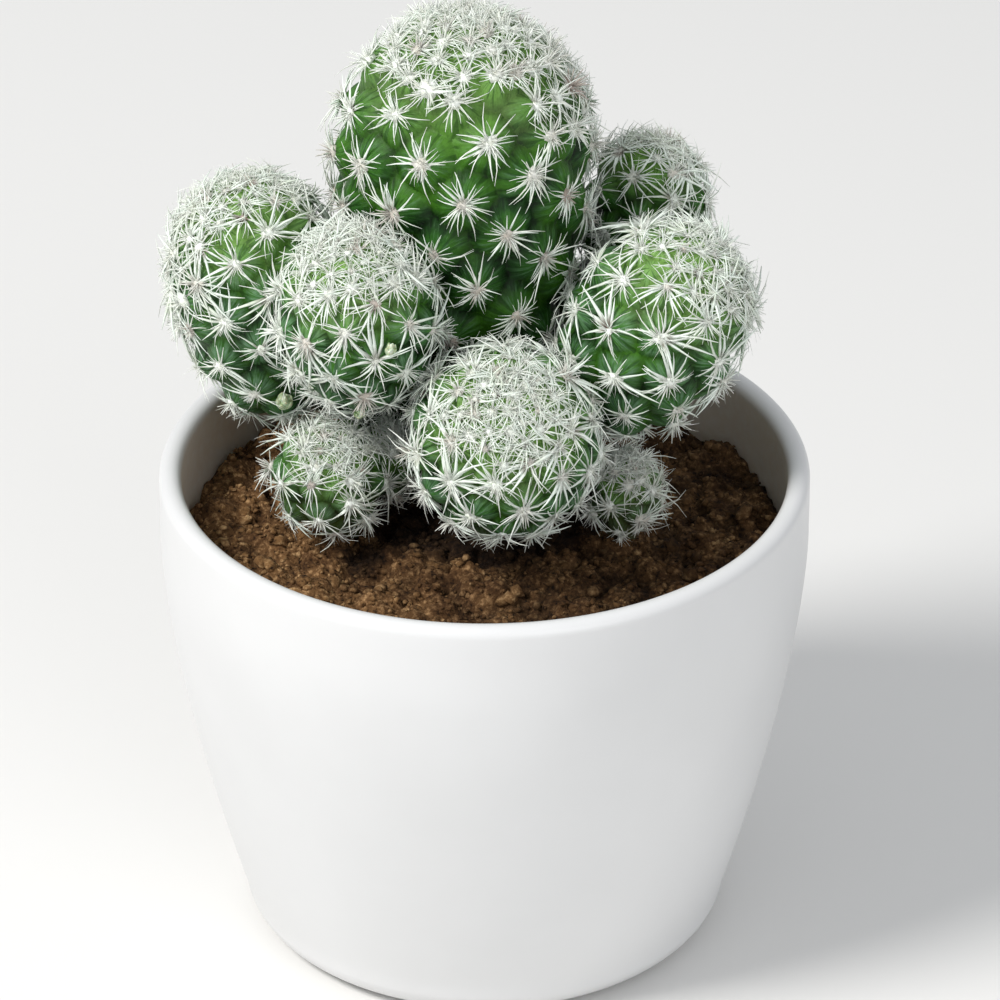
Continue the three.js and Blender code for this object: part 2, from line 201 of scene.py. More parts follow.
def glaze_material():
    material, shader = new_material("satin_white_glaze", Coat_Weight=0.25, Coat_Roughness=0.22)
    place = object_place(material)
    cloud = add_noise(material, place, 28, 4)
    white = add_ramp(material, cloud, GLAZE_WHITES)
    # A film of soil dust, darkened further as painted shade, lies on the inner wall, from the soil up to
    # just under the lip
    height = add_node(material, "SeparateXYZ", {"Vector": place}).outputs["Z"]
    across = add_node(material, "VectorMath", {0: place, 1: (1, 1, 0)}, operation="MULTIPLY").outputs[0]
    radius = add_node(material, "VectorMath", {0: across}, operation="LENGTH").outputs["Value"]
    inside = add_range(material, radius, *DUST_AND_SHADE_RADII)
    under_lip = add_range(material, height, *DUST_AND_SHADE_HEIGHTS)
    over_foot = add_math(material, "GREATER_THAN", height, DUST_AND_SHADE_FOOT)
    band = add_math(material, "MULTIPLY", inside, add_math(material, "MULTIPLY", under_lip, over_foot))
    grains = add_range(material, add_noise(material, place, 700, 3), 0.25, 0.6, 0.75, 1.0)
    dust_and_shade = add_math(material, "MULTIPLY", band, grains)
    link(material, add_mix(material, dust_and_shade, white, DUST_AND_SHADE), shader.inputs["Base Color"])
    gloss = add_range(material, cloud, 0, 1, 0.36, 0.46)
    duller = add_math(material, "MULTIPLY", dust_and_shade, 0.35)
    link(material, add_math(material, "ADD", gloss, duller), shader.inputs["Roughness"])
    pinholes = add_bump(material, add_noise(material, place, 1400, 2), 0.04, 0.0002)
    waves = add_bump(material, add_noise(material, place, 90, 2), 0.08, 0.0006, pinholes)
    link(material, waves, shader.inputs["Normal"])
    return material


pot_mesh = spun(pot_profile(), POT_SIDES)
# The two edges of the foot ring are eased
foot_edges = [edge for edge in pot_mesh.edges if all(vert.co.z < 1e-4 for vert in edge.verts)
              and abs(edge.verts[0].co.xy.length - edge.verts[1].co.xy.length) < 1e-3]
bmesh.ops.bevel(pot_mesh, geom=foot_edges, affect="EDGES", offset=FOOT_EASE, segments=3,
                profile=0.5, material=-1)
make_piece("white_pot", pot_mesh, glaze_material(), ["pot"])

# Stems: their outline
# The clump is one main stem and the round offsets that branch from it low down. Each head is an egg
# of round section, grown in one with its woody neck.
# The neck leaves the egg this share of the tail below its centre
NECK_TOP = 0.6
# Each head's centre, lean, radius at its centre, length of its crown and of its tail along its lean,
# distance between its spine cushions, root of its neck, and radius of its neck
HEADS = {
    "head_main": ((-2.9, 12, 112.7), (0.03, -0.03, 1), 17.7, 19.5, 62, 9, (-3.4, 14, 50), 8),
    "head_mid_left": ((-17, -6.5, 97.2), (-0.09, -0.36, 0.93), 11.1, 13.2, 16, 6.8, (-4, 12, 80), 4.5),
    "head_front": ((2.8, -14, 81.7), (0.03, -0.65, 0.76), 13, 13.4, 15, 6.9, (-2, 12, 68), 5),
    "head_right": ((23.3, -2, 93.4), (0.4, -0.27, 0.88), 12.2, 15.4, 19.6, 7.9, (-2, 12, 68), 4.5),
    "head_left": ((-31.1, 6, 96), (-0.13, -0.06, 0.98), 12.1, 15, 22, 7.3, (-4, 13, 68), 4.5),
    "head_rear_right": ((22.2, 22, 99), (0.15, 0.01, 0.99), 8.7, 9.6, 15, 6.5, (-2, 13, 78), 4),
    "head_rear_left": ((-20, 27, 79), (-0.35, 0.4, 0.85), 9.5, 10.4, 12.5, 6.7, (-3, 14, 66), 4),
    "head_rear": ((6, 31, 78), (0.15, 0.5, 0.85), 8.4, 9, 11.5, 6.6, (-3, 14, 66), 4),
    "head_low_left": ((-21.2, -4, 70.8), (0.1, -0.49, 0.87), 8.2, 7.4, 8.4, 6, (-17, 0, 57), 3),
    "head_low_right": ((19.4, -4, 67.8), (0.05, -0.39, 0.92), 5.3, 5.7, 6.4, 5, (18, -3, 57), 2.5),
    "head_inner": ((-12.4, 0.5, 71.2), (-0.1, -0.5, 0.86), 5.5, 5.8, 7.5, 5, (-6, 9, 62), 2.5),
}


class Head:
    def __init__(self, name, centre, lean, radius, crown, tail, spacing, root, stalk):
        self.name, self.radius, self.crown, self.tail = name, radius, crown, tail
        self.spacing, self.stalk = spacing, stalk
        self.centre, self.root = Vector(centre), Vector(root)
        self.axis = Vector(lean).normalized()
        self.side = Vector((0, 1, 0)).cross(self.axis).normalized()
        self.front = self.axis.cross(self.side)
        self.stalk_top = self.centre - NECK_TOP * tail * self.axis

    # A point of the egg, `from_tip` radians from its growing tip and round by `turn`
    def point(self, from_tip, turn):
        reach = self.crown if from_tip < math.pi / 2 else self.tail
        across = self.radius * math.sin(from_tip)
        return (self.centre + self.axis * reach * math.cos(from_tip)
                + self.side * across * math.cos(turn) + self.front * across * math.sin(turn))

    def normal(self, point):
        local = point - self.centre
        along = local.dot(self.axis)
        reach = self.crown if along > 0 else self.tail
        across = local - self.axis * along
        return (across / self.radius ** 2 + self.axis * along / reach ** 2).normalized()

    # How far a point lies outside the egg, or outside its neck
    def outside(self, point):
        local = point - self.centre
        along = local.dot(self.axis)
        across = math.sqrt(max(0.0, local.length_squared - along ** 2))
        share = along / (self.crown if along > 0 else self.tail)
        egg = local.length * (1 - 1 / max(1e-6, math.hypot(share, across / self.radius)))
        if abs(share) < 1:
            egg = min(egg, across - self.radius * math.sqrt(1 - share ** 2))
        line = self.stalk_top - self.root
        part = min(1.0, max(0.0, (point - self.root).dot(line) / line.length_squared))
        return min(egg, (point - self.root - line * part).length - self.stalk)


heads = {name: Head(name, *values) for name, values in HEADS.items()}

# Soil
# Sieved potting earth, loosely filled: it lies 10 mm under the lip, a little higher round the
# stems, and its top is all small crumbs and clods with dark gaps between them.
SOIL_EDGE = 60.6
SOIL_GAP = 0.3
# A spot is its middle, the radius to which it is full and the radius at which it has run out
MOUND, MOUND_HEIGHT = ((0, 0), 8, 36), 1.8
HOLLOW, HOLLOW_DEPTH = ((-16.5, -12.5), 0.5, 5.5), 2.6
# Two spots of painted shade: round the stems, where the heads shade the earth, and round the hollow
SHADE_ROUND_STEMS, SHADE_ROUND_HOLLOW = ((-1, 6), 16.5, 22.5), ((-16.5, -8.5), 1.5, 5)
SWELL_HEIGHT, SWELL_SIZE = 1.3, 6.5
LUMP_HEIGHT, LUMP_SIZE = 0.9, 3
SMALL_CLOD, LARGE_CLOD, GRAIN = 4.3, 9.5, 1.2
BED_HEIGHTS = 8.5, 20, 35, 50, SOIL_EDGE - 4
BED_RINGS, BED_SIDES = 74, 256


def smoothstep(low, high, value):
    share = min(1.0, max(0.0, (value - low) / (high - low)))
    return share * share * (3 - 2 * share)


# 1 in the middle of a spot, and 0 outside it
def within(spot, x, y):
    (middle_x, middle_y), full, end = spot
    return 1 - smoothstep(full, end, math.hypot(x - middle_x, y - middle_y))


def soil_height(x, y):
    swell = SWELL_HEIGHT * noise.noise(Vector((x / SWELL_SIZE, y / SWELL_SIZE, 0.5)))
    return SOIL_EDGE + MOUND_HEIGHT * within(MOUND, x, y) + swell - HOLLOW_DEPTH * within(HOLLOW, x, y)


def lumps(x, y):
    return LUMP_HEIGHT * noise.noise(Vector((x / LUMP_SIZE, y / LUMP_SIZE, 3.7)))


# Clods of one size: how far off the middle of the nearest is, in clods, and how near the gap
# between two of them, which is 1 in the gap and 0 on a clod
def clods(x, y, size):
    nearest, second = noise.voronoi(Vector((x / size, y / size, 1.3)))[0][:2]
    return nearest, 1 - smoothstep(0.02, 0.3, second - nearest)


# The gaps between the large clods wander, because the lumps push them aside
def large_gap(x, y):
    push = 1.5 * lumps(x, y)
    return clods(x + push, y - push, LARGE_CLOD)[1]


def crumbly(x, y):
    middle, gap = clods(x, y, SMALL_CLOD)
    cell = noise.voronoi(Vector((x / GRAIN, y / GRAIN, 9.1)))[0]
    grain = 0.7 * (0.4 - cell[0]) + 0.3 * noise.noise(Vector((x * 1.5, y * 1.5, 6.2)))
    return lumps(x, y) + grain + 0.6 * (0.45 - middle) - 0.8 * gap - 0.9 * large_gap(x, y)


# Painted shade: the earth is darkened between the stems, under the heads, round the hollow and in the gaps
# between the clods,
# and more so towards the shaded right: 1 where it is fully shaded, 0 where it is not
def painted_shade_of(x, y):
    to_right = smoothstep(-28, 12, x)
    in_gaps = max((0.15 + 0.65 * to_right) * large_gap(x, y), 0.45 * to_right * clods(x, y, SMALL_CLOD)[1])
    return max(within(SHADE_ROUND_STEMS, x, y), within(SHADE_ROUND_HOLLOW, x, y), 0.5 * smoothstep(-30, 28, x), in_gaps)


# The bed's top is a fine net, which sinks a little where it meets the wall
def soil_bed():
    edge = pot_radius(SOIL_EDGE) - WALL - SOIL_GAP
    corner = pot_radius(FLOOR) - WALL - INNER_CORNER - SOIL_GAP
    profile = [(0, FLOOR + SOIL_GAP), (corner, FLOOR + SOIL_GAP)]
    profile += [(pot_radius(height) - WALL - SOIL_GAP, height) for height in BED_HEIGHTS]
    profile += [(edge * ring / BED_RINGS, SOIL_EDGE) for ring in range(BED_RINGS, -1, -1)]
    bm = spun(profile, BED_SIDES)
    # Each point of the top carries the painted shade of its place
    painted_shade = bm.verts.layers.float.new("painted_shade")
    for vert in bm.verts:
        if abs(vert.co.z - SOIL_EDGE) < 0.01:
            x, y = vert.co.xy
            vert[painted_shade] = painted_shade_of(x, y)
            at_wall = smoothstep(1.6, 0, edge - math.hypot(x, y))
            vert.co.z = soil_height(x, y) + crumbly(x, y) - 0.7 * at_wall
    return bm


# A large mesh of small like pieces grows fastest in batches: each is made in a bmesh of its own
def add_batch(bm, batch):
    mesh = bpy.data.meshes.new("batch")
    batch.to_mesh(mesh)
    batch.free()
    bm.from_mesh(mesh)
    bpy.data.meshes.remove(mesh)


# Loose crumbs: squashed grains, half sunk in the bed. Each kind has its count, the radii of its
# smallest and largest crumbs, and the seed of its draw.
CRUMBS = {"soil_crumbs_fine": (4600, 0.28, 0.8, 3), "soil_crumbs_coarse": (300, 0.7, 1.8, 4)}
CRUMB_SQUARE, CRUMB_REACH = 41, 41.2
CRUMB_BATCH = 60
# A little more than a full turn, for a turn drawn at random
ANY_TURN = 6.3


def crumb_batch():
    batch = bmesh.new()
    return batch, batch.verts.layers.float.new("painted_shade")


def soil_crumbs(count, smallest, largest, seed):
    draw = random.Random(seed)
    bm = bmesh.new()
    batch, painted_shade = crumb_batch()
    placed = 0
    while placed < count:
        x, y = draw.uniform(-CRUMB_SQUARE, CRUMB_SQUARE), draw.uniform(-CRUMB_SQUARE, CRUMB_SQUARE)
        size = smallest + (largest - smallest) * draw.random() ** 3
        ground = soil_height(x, y) + crumbly(x, y)
        if math.hypot(x, y) > CRUMB_REACH - size or any(
                head.outside(Vector((x, y, ground + size))) < 0.5 * size for head in heads.values()):
            continue
        middle = Vector((x, y, ground + size * draw.uniform(-0.15, 0.25)))
        turned = (Matrix.Rotation(draw.uniform(0, ANY_TURN), 4, "Z")
                  @ Matrix.Rotation(draw.uniform(-0.5, 0.5), 4, "X"))
        long, wide, high = draw.uniform(0.7, 1.2), draw.uniform(0.6, 1), draw.uniform(0.45, 0.8)
        squashed = Matrix.Diagonal((size * long, size * wide, size * high, 1))
        place = Matrix.Translation(middle) @ turned @ squashed
        grain = bmesh.ops.create_icosphere(batch, subdivisions=1, radius=1, matrix=place)["verts"]
        # A crumb takes the painted shade of the earth under it
        shade_here = painted_shade_of(x, y)
        for vert in grain:
            vert.co += (vert.co - middle) * draw.uniform(-0.35, 0.35)
            vert[painted_shade] = shade_here
        placed += 1
        if placed % CRUMB_BATCH == 0 or placed == count:
            add_batch(bm, batch)
            batch, painted_shade = crumb_batch()
    batch.free()
    return bm


# A value that a piece's mesh carries from point to point
def mesh_value(material, name):
    return add_node(material, "Attribute", {}, attribute_name=name).outputs["Fac"]


def add_tint(material, colour, tint):
    node = add_node(material, "Mix", {}, data_type="RGBA", blend_type="MULTIPLY")
    node.inputs[0].default_value = 1
    link(material, colour, node.inputs[6])
    link(material, tint, node.inputs[7])
    return node.outputs[2]


# Dark, middle and pale earth
BED_EARTH = (0.012, 0.006, 0.003), (0.172, 0.087, 0.034), (0.60, 0.36, 0.17)
CRUMB_EARTH = (0.017, 0.008, 0.004), (0.228, 0.120, 0.047), (0.70, 0.45, 0.22)
PATCH_SHADE = (0.5, 0.46, 0.44)
# The colour of the painted shade, multiplied into the earth
PAINTED_SHADE_COLOUR = (0.10, 0.09, 0.085)
PLAIN = (1, 1, 1)


def soil_material(name, tones, grain_scale):
    material, shader = new_material(name, Roughness=0.95)
    shader.inputs["Specular IOR Level"].default_value = 0.2
    place = object_place(material)
    grain = add_noise(material, place, grain_scale, 5, 0.65)
    patch = add_noise(material, place, 170, 3)
    earth = add_ramp(material, grain, list(zip((0.3, 0.48, 0.72), tones)))
    patches = add_ramp(material, patch, [(0.35, PATCH_SHADE), (0.6, PLAIN)])
    # Painted shade darkens the earth by the value that the mesh carries
    painted_shade = add_ramp(material, mesh_value(material, "painted_shade"), [(0, PLAIN), (1, PAINTED_SHADE_COLOUR)], "LINEAR")
    earth = add_tint(material, add_tint(material, earth, patches), painted_shade)
    link(material, earth, shader.inputs["Base Color"])
    rough = add_noise(material, place, grain_scale * 2.2, 4, 0.7)
    link(material, add_bump(material, rough, 0.8, 0.0005), shader.inputs["Normal"])
    return material


make_piece("soil_bed", soil_bed(), soil_material("potting_earth", BED_EARTH, 1200), ["soil"])
loose_earth = soil_material("crumbs_of_earth", CRUMB_EARTH, 800)
for name, sizes in CRUMBS.items():
    make_piece(name, soil_crumbs(*sizes), loose_earth)

# Stems: their tubercles
# The skin is a net of low six-sided tubercles, each tipped by a spine cushion. They follow each
# other round the axis at the golden angle, and stand closer towards the growing tip.
GOLDEN_ANGLE = math.pi * (3 - math.sqrt(5))
# Within the crown, to CROWN_SPREAD radians from the tip, the spacing grows from CLOSEST to its full
CROWN_SPREAD = 1.15
CLOSEST, LOOSENING = 0.55, 0.45
VALLEY_DEPTH, VALLEY_POWER = 0.19, 1.8
PLEAT = 0.09
# Young cushions stand within YOUNG_REACH radians of the tip, and on the outer side of these heads
YOUNG_REACH = 0.72
DENSE_SIDES = {"head_main": (0.78, -0.2, 0.59), "head_left": (-0.9, -0.25, 0.35),
               "head_right": (0.9, -0.2, 0.4)}
DENSE_NEARNESS = 0.82


class Cushion:
    def __init__(self, head, point, from_tip, young=False):
        self.head, self.place, self.from_tip, self.young = head, point, from_tip, young
        self.normal = head.normal(point)
        self.left = self.normal.cross(Vector((0.3, -0.8, 0.52))).normalized()
        self.ahead = self.left.cross(self.normal)


# The cushions share out the egg's surface, from the tip down, by the area that each one needs
def cushions_of(head):
    def reach(turn):
        return np.where(turn < np.pi / 2, head.crown, head.tail)

    steps = 400
    turns = (np.arange(steps) + 0.5) / steps * np.pi
    before, after = turns - np.pi / steps / 2, turns + np.pi / steps / 2
    strip = np.hypot(reach(after) * np.cos(after) - reach(before) * np.cos(before),
                     head.radius * (np.sin(after) - np.sin(before)))
    share = np.clip(turns / CROWN_SPREAD, 0, 1)
    spacing = head.spacing * (CLOSEST + LOOSENING * share * share * (3 - 2 * share))
    area = 2 * np.pi * head.radius * np.sin(turns) * strip
    filled = np.concatenate([[0], np.cumsum(area / (math.sqrt(3) / 2 * spacing ** 2))])
    count = int(filled[-1] + 0.5)
    wanted = (np.arange(count) + 0.5) / count * filled[-1]
    from_tips = np.interp(wanted, filled, np.arange(steps + 1) / steps * np.pi)
    grown = [Cushion(head, head.point(t, i * GOLDEN_ANGLE), t) for i, t in enumerate(from_tips)]
    return grown + young_cushions(head, grown)


# Near the tip and on a dense side a young cushion stands in each gap between three others
def young_cushions(head, grown):
    dense = Vector(DENSE_SIDES.get(head.name, (0, 0, 0)))
    bm = bmesh.new()
    for cushion in grown:
        bm.verts.new(cushion.place)
    bmesh.ops.convex_hull(bm, input=bm.verts)
    young = []
    for face in bm.faces:
        local = face.calc_center_median() - head.centre
        along, side, front = (local.dot(line) for line in (head.axis, head.side, head.front))
        from_tip = math.atan2(math.hypot(side, front) / head.radius, along / head.crown)
        place = head.point(from_tip, math.atan2(front, side))
        if from_tip < YOUNG_REACH or head.normal(place).dot(dense) > DENSE_NEARNESS:
            young.append(Cushion(head, place, from_tip, True))
    bm.free()
    return young


def skin_of(head, cushions, subdivisions):
    bm = bmesh.new()
    bmesh.ops.create_icosphere(bm, subdivisions=subdivisions, radius=1)
    axes = Matrix((head.side, head.front, head.axis)).transposed()
    for vert in bm.verts:
        x, y, z = vert.co
        reach = head.crown if z > 0 else head.tail
        vert.co = head.centre + axes @ Vector((x * head.radius, y * head.radius, z * reach))
    # Each point sinks towards the valley, halfway between its two nearest cushions
    tips = np.array([cushion.place for cushion in cushions])
    places = np.array([vert.co for vert in bm.verts])
    nearest, first, second = nearest_tips(places, tips)
    share = 2 * first / (first + second)
    sunk = VALLEY_DEPTH * (first + second) * share ** VALLEY_POWER
    for vert, depth, tip in zip(bm.verts, sunk, nearest):
        cushion = cushions[tip]
        local = vert.co - cushion.place
        turn = Vector((local.dot(cushion.ahead), local.dot(cushion.left), 0)).normalized()
        pleats = noise.noise(turn * 3.1 + cushion.place * 0.37) * PLEAT * min(1.0, local.length / 2)
        vert.co -= head.normal(vert.co) * (depth + pleats)
    return bm


# For each place: which cushion is nearest, how far off it is, and how far the second nearest
def nearest_tips(places, tips):
    nearest = np.zeros(len(places), int)
    first, second = np.zeros(len(places)), np.zeros(len(places))
    at_once = 4000
    for start in range(0, len(places), at_once):
        part = slice(start, start + at_once)
        distance = np.linalg.norm(places[part, None, :] - tips[None, :, :], axis=2)
        order = np.argpartition(distance, 1, axis=1)[:, :2]
        pair = np.take_along_axis(distance, order, axis=1)
        swap = pair[:, 0] > pair[:, 1]
        nearest[part] = np.where(swap, order[:, 1], order[:, 0])
        first[part], second[part] = pair.min(axis=1), pair.max(axis=1)
    return nearest, first, second


def add_neck(bm, head):
    line = head.stalk_top - head.root
    place = Matrix.Translation(head.root + line / 2) @ line.to_track_quat("Z", "Y").to_matrix().to_4x4()
    made = bmesh.ops.create_cone(bm, cap_ends=True, segments=24, radius1=head.stalk, radius2=head.stalk,
                                 depth=line.length, matrix=place)["verts"]
    sides = {edge for vert in made for edge in vert.link_edges
             if abs(edge.calc_length() - line.length) < 0.01}
    bmesh.ops.subdivide_edges(bm, edges=list(sides), cuts=10)


# The skin's own values: how high a point stands on its tubercle, from 0 in the valley to 1 at the
# cushion, and how far up the egg it lies. Its UV map says where it lies from its cushion, in units
# of 10 mm.
def map_skin(piece, head, cushions):
    mesh = piece.data
    count, corners = len(mesh.vertices), len(mesh.loops)
    places = np.empty(count * 3)
    mesh.vertices.foreach_get("co", places)
    places = places.reshape(-1, 3) * 1000
    tips = np.array([cushion.place for cushion in cushions])
    _, first, second = nearest_tips(places, tips)
    rise = 1 - 2 * first / (first + second)
    crown = np.clip((places - np.array(head.centre)) @ np.array(head.axis) / head.crown, -1, 1)
    for name, values in (("rise", rise), ("crown", crown)):
        mesh.attributes.new(name, "FLOAT", "POINT").data.foreach_set("value", values)
    owner = np.empty(corners, int)
    mesh.loops.foreach_get("vertex_index", owner)
    starts, totals = np.empty(len(mesh.polygons), int), np.empty(len(mesh.polygons), int)
    mesh.polygons.foreach_get("loop_start", starts)
    mesh.polygons.foreach_get("loop_total", totals)
    face_of = np.repeat(np.arange(len(starts)), totals)
    middles = np.add.reduceat(places[owner], starts) / totals[:, None]
    nearest = nearest_tips(middles, tips)[0][face_of]
    local = places[owner] - tips[nearest]
    ahead = np.array([cushion.ahead for cushion in cushions])[nearest]
    left = np.array([cushion.left for cushion in cushions])[nearest]
    flat = np.stack([(local * ahead).sum(1), (local * left).sum(1)], 1) / 10
    mesh.uv_layers.new(name="tubercles").data.foreach_set("uv", flat.ravel())


# From the bottom of the valleys to the cushions: the skin's greens, darkened to near black in the valleys
# as painted shade
SKIN_GREENS_AND_VALLEY_SHADE = ((0.0, (0.003, 0.015, 0.002)), (0.12, (0.008, 0.042, 0.005)), (0.42, (0.022, 0.105, 0.009)),
               (0.8, (0.050, 0.178, 0.020)), (0.98, (0.130, 0.270, 0.065)))
LIVELY_GREEN = (0.070, 0.230, 0.012)
BLOOM_AND_SHEEN = (0.145, 0.270, 0.150)
TIP_GREEN = (0.28, 0.50, 0.12)
CORKY = (0.10, 0.075, 0.04)
LOW_SHADE = (0.74, 0.74, 0.79)
SPECKLE_SHADE = (0.78, 0.80, 0.76)
FOLD_SHADE = (0.48, 0.56, 0.48)
# In metres: the heights at which the skin begins to turn corky and has turned
CORKY_HEIGHTS = 0.072, 0.060


# The paleness is partly that of a young skin and partly painted light, which lifts all the greens of the
# lighter skin
def skin_material(name, paleness_and_light):
    material, shader = new_material(name, Subsurface_Weight=0.06, Subsurface_Scale=0.001)
    shader.inputs["Specular IOR Level"].default_value = 0.2
    shader.inputs["Subsurface Radius"].default_value = (0.5, 1, 0.25)
    place = object_place(material)
    rise = mesh_value(material, "rise")
    crown = mesh_value(material, "crown")
    # Streaks run from each cushion down the flanks of its tubercle
    flat = add_node(material, "UVMap", {}, uv_map="tubercles").outputs["UV"]
    ray = add_node(material, "VectorMath", {0: flat}, operation="NORMALIZE").outputs[0]
    slow = add_node(material, "VectorMath", {0: place, 1: (60, 60, 60)}, operation="MULTIPLY").outputs[0]
    along = add_node(material, "VectorMath", {0: ray, 1: slow}, operation="ADD").outputs[0]
    streak = add_noise(material, along, 7, 5, 0.62)
    patch = add_noise(material, place, 130, 4, 0.6)
    speckle = add_noise(material, place, 1500, 4, 0.6)
    stray = add_math(material, "MULTIPLY", add_math(material, "SUBTRACT", streak, 0.5), 0.5)
    uneven = add_math(material, "ADD", rise, stray)
    # The greens are lifted by the paleness, partly as painted light
    greens = [(stop, [(1 + 4 * paleness_and_light) * part for part in tone]) for stop, tone in SKIN_GREENS_AND_VALLEY_SHADE]
    lively = add_range(material, patch, 0.42, 0.62, 0, 0.65)
    # Painted shade: the greens darken into the valleys between the tubercles
    fresh = add_mix(material, lively, add_ramp(material, uneven, greens), LIVELY_GREEN)
    # A pale waxy bloom, with a painted sheen, lies on the flanks, thicker on the younger heads
    bloom_and_sheen = add_range(material, add_math(material, "ADD", streak, paleness_and_light), 0.54, 0.74, 0, 0.5 + 3 * paleness_and_light)
    flank = add_range(material, rise, 0.03, 0.3)
    waxy = add_mix(material, add_math(material, "MULTIPLY", bloom_and_sheen, flank), fresh, BLOOM_AND_SHEEN)
    # Towards the tip the skin turns a young yellow-green, lightened further as painted light
    young = add_range(material, crown, 0.3, 1.0, 0, 0.55 + 2 * paleness_and_light)
    tipped = add_mix(material, young, waxy, TIP_GREEN)
    # The skin darkens down the stem, partly as older skin and partly as painted shade, and turns corky
    # brown near the soil
    shade = add_ramp(material, add_range(material, crown, -0.75, 0.45), [(0, LOW_SHADE), (1, PLAIN)])
    mottle = add_ramp(material, speckle, [(0.3, SPECKLE_SHADE), (0.65, PLAIN)])
    # Painted shade in dark folds round each cushion
    fold = add_noise(material, along, 4.5, 1, 0.3)
    folds = add_ramp(material, fold, [(0.36, FOLD_SHADE), (0.47, PLAIN)])
    for tint in (shade, mottle, folds):
        tipped = add_tint(material, tipped, tint)
    height = add_node(material, "SeparateXYZ", {"Vector": place}).outputs["Z"]
    old = add_range(material, height, *CORKY_HEIGHTS, 0, 0.7)
    link(material, add_mix(material, old, tipped, CORKY), shader.inputs["Base Color"])
    link(material, add_range(material, streak, 0, 1, 0.36, 0.54), shader.inputs["Roughness"])
    pores = add_bump(material, speckle, 0.15, 0.0002)
    folded = add_bump(material, fold, 0.3, 0.0005, pores)
    link(material, add_bump(material, streak, 0.4, 0.0005, folded), shader.inputs["Normal"])
    return material


# Two copies of the skin: a darker one, and a lighter one whose greens are lifted as painted light
darker_skin, lighter_skin = skin_material("darker_skin", 0.04), skin_material("lighter_skin", 0.15)
# The main stem has the darker skin as older skin; the rear right head has it as painted shade
DARKER_SKIN_HEADS = "head_main", "head_rear_right"
# Of the icosphere that a skin is made from: more on the largest head, fewer on the smallest
SUBDIVISIONS = {"head_main": 7, "head_low_right": 5, "head_inner": 5}
cushions = {}
for name, head in heads.items():
    cushions[name] = cushions_of(head)
    bm = skin_of(head, cushions[name], SUBDIVISIONS.get(name, 6))
    add_neck(bm, head)
    skin = darker_skin if name in DARKER_SKIN_HEADS else lighter_skin
    piece = make_piece(name + "_skin", bm, skin, [name])
    map_skin(piece, head, cushions[name])

# Spines
# Each cushion bears a star of white spines that curve along the skin, with a few short ones in its
# middle. Towards the tip they are shorter, stand up and interlace. On the shaded side of an offset,
# towards its neighbours, the cover is thinner.
# Fewest and most rays of a young and of a grown star, and short spines in its middle
YOUNG_RAYS, GROWN_RAYS, MIDDLE_SPINES = (8, 11), (13, 17), (2, 5)
# Lengths of a grown spine on the main stem, at most on an offset, and at most at a crown, where it
# is a share of the grown length
FULL_LENGTH, LONGEST, CROWN_LENGTH, CROWN_SHARE = 3.9, 5.4, 2.8, 0.66
# On an offset the length is a share of the spacing, which is less on a head of a smaller radius
SMALL_HEAD, LARGE_SHARE, SMALL_SHARE = 8.5, 0.73, 0.6
# Spines end within this width and height. They keep clear of the soil, the pot and the other heads,
# and a cushion that has less room of its own is bare.
WIDEST, TALLEST = 44.9, 134.4
SPINE_CLEARANCE, CUSHION_CLEARANCE = 0.25, 0.4
THIN_SIDES = {"head_right": (-0.75, -0.62, 0.2), "head_left": (0.5, -0.8, 0.3),
              "head_mid_left": (0.55, -0.8, -0.25), "head_front": (0.25, -0.75, -0.6),
              "head_low_left": (-0.2, -0.9, -0.3), "head_rear_right": (-0.2, -0.9, 0.4)}
# The stars of the main stem are even, and those of the offsets vary: the span of their vigour, how
# much shorter they are low down, how steeply the spines of a young star rise and how much an old
# one's sink, and how much the spines draw to one side and are longer there
MAIN_STARS = {"vigour": (0.88, 1.08), "waning": 0.14, "lift": 0.52, "sinking": 0.26,
              "gather": (0.05, 0.4), "lopsided": 0.18}
OFFSET_STARS = {"vigour": (0.72, 1.12), "waning": 0.24, "lift": 0.42, "sinking": 0.28,
                "gather": (0.2, 0.7), "lopsided": 0.3}


# A needle of length 1 along Z, bowed towards X and swayed towards Y. Its value "along" runs from 0
# at the root to 1 at the tip.
def needle(root, tip, cuts, bow, sway):
    bm = bmesh.new()
    bmesh.ops.create_cone(bm, cap_ends=True, segments=3, radius1=root, radius2=tip, depth=1,
                          matrix=Matrix.Translation((0, 0, 0.5)))
    for cut in cuts:
        bmesh.ops.bisect_plane(bm, geom=bm.verts[:] + bm.edges[:] + bm.faces[:], plane_co=(0, 0, cut),
                               plane_no=(0, 0, 1))
    bmesh.ops.triangulate(bm, faces=bm.faces)
    along = bm.verts.layers.float.new("along")
    bm.verts.layers.float.new("rust")
    for vert in bm.verts:
        z = vert.co.z
        vert[along] = z
        swell = 1 + 0.45 * math.sin(math.pi * z)
        vert.co.x = vert.co.x * swell + bow * z * z
        vert.co.y = vert.co.y * swell + sway * z * z
    mesh = bpy.data.meshes.new("needle")
    bm.to_mesh(mesh)
    bm.free()
    return mesh, bow, sway


def clear_of_rest(point, owner, near, margin):
    x, y, z = point
    if z < soil_height(x, y) + margin or z > TALLEST or max(abs(x), abs(y)) > WIDEST:
        return False
    if z < POT_HEIGHT + margin and math.hypot(x, y) > pot_radius(z) - WALL - margin:
        return False
    return all(head.outside(point) > margin for head in near if head is not owner)


def neighbours(head):
    return [other for other in heads.values() if other is not head and
            (other.name == "head_main" or (other.centre - head.centre).length
             < max(other.crown, other.tail) + max(head.crown, head.tail) + 8)]


